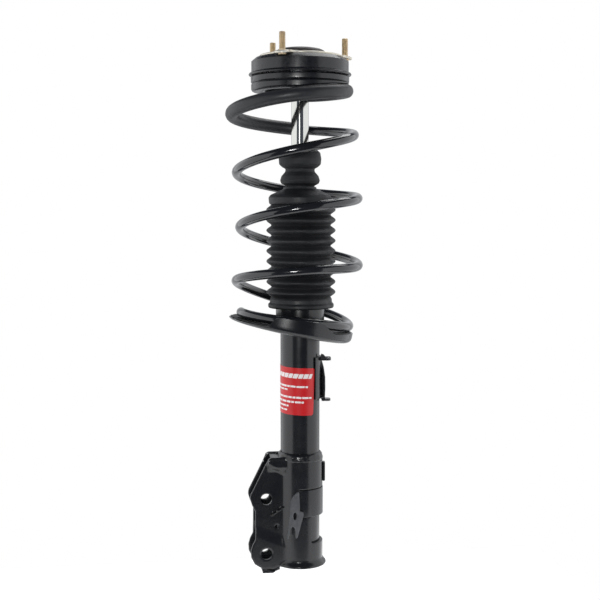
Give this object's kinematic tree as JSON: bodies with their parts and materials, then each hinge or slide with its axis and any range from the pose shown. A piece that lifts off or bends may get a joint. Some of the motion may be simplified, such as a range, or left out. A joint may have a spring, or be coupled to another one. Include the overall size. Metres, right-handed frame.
{
  "type": "suspension strut assembly",
  "caption": "Complete coil-over suspension strut: damper with knuckle bracket, bowed coil spring, ribbed dust boot, bump stop and studded swivelling top mount.",
  "frame": {"origin": "centre of the circle of the three body studs, on the top face of the mount plate", "axes": "+Z along the damper towards the studs; the two ears of the knuckle bracket point to -X; one stud stands on +X"},
  "size_m": [0.1735, 0.1655, 0.677],
  "materials": {
    "black_paint": "gloss",
    "spring_paint": "gloss",
    "mount_black": "gloss",
    "chrome_rod": "polished",
    "yellow_zinc": "satin",
    "steel_plain": "satin",
    "bearing_steel": "polished",
    "sintered_iron": "matte",
    "rubber_black": "matte",
    "foam_black": "matte",
    "nylon": "matte",
    "bush_bronze": "satin",
    "label_red": "satin"
  },
  "bodies": {
    "damper_body": {"strut_tube": "black_paint", "base_cap": "black_paint", "knuckle_bracket": "black_paint", "bracket_reinforcement": "black_paint", "bracket_weld": "black_paint", "locating_tab": "black_paint", "hose_bracket_upper": "black_paint", "hose_bracket_lower": "black_paint", "label": "label_red", "spring_seat_lower": "black_paint", "seat_collar": "black_paint", "spring_pad_lower": "rubber_black", "coil_spring": "spring_paint", "spring_sleeve": "rubber_black", "pressure_tube": "steel_plain", "base_valve": "sintered_iron", "base_valve_discs": "steel_plain", "base_valve_rivet": "steel_plain", "rod_guide": "sintered_iron", "guide_bush": "bush_bronze", "rod_seal": "rubber_black", "tube_top_cap": "steel_plain"},
    "jounce_stop": {"bump_stop": "foam_black", "dust_boot": "rubber_black"},
    "top_seat": {"spring_seat_upper": "mount_black", "spring_pad_upper": "rubber_black", "bearing_lower_race": "bearing_steel", "bearing_seal": "rubber_black"},
    "ball_set": {"bearing_balls": "bearing_steel", "bearing_cage": "nylon"},
    "top_mount": {"bearing_upper_race": "bearing_steel", "mount_plate": "yellow_zinc", "mount_studs": "yellow_zinc", "mount_shell": "mount_black", "mount_rubber": "rubber_black", "mount_core": "steel_plain", "rod_washer": "steel_plain", "rod_nut": "steel_plain", "dust_cap": "mount_black", "piston_rod": "chrome_rod", "rebound_collar": "steel_plain", "rebound_bumper": "nylon", "piston": "sintered_iron", "piston_band": "nylon", "piston_shims": "steel_plain", "piston_nut": "steel_plain"}
  },
  "joints": [
    {"name": "damper_stroke", "type": "slide", "parent": "damper_body", "child": "top_seat", "axis": [0, 0, 1], "range_m": [-0.125, 0], "stiffness_N_per_m": 25000, "springref_m": 0.01, "deforming": ["coil_spring", "spring_sleeve", "bump_stop", "dust_boot"]},
    {"name": "steering_swivel", "type": "hinge", "parent": "top_seat", "child": "top_mount", "pos_m": [0, 0, -0.02925], "axis": [0, 0, 1], "continuous": true},
    {"name": "ball_orbit", "type": "hinge", "parent": "top_seat", "child": "ball_set", "pos_m": [0, 0, -0.02925], "axis": [0, 0, 1], "continuous": true},
    {"name": "jounce_slide", "type": "slide", "parent": "damper_body", "child": "jounce_stop", "axis": [0, 0, 1], "range_m": [0, 0.06]}
  ],
  "couplings": [
    {"joint": "ball_orbit", "follows": "steering_swivel", "ratio": 0.5}
  ]
}
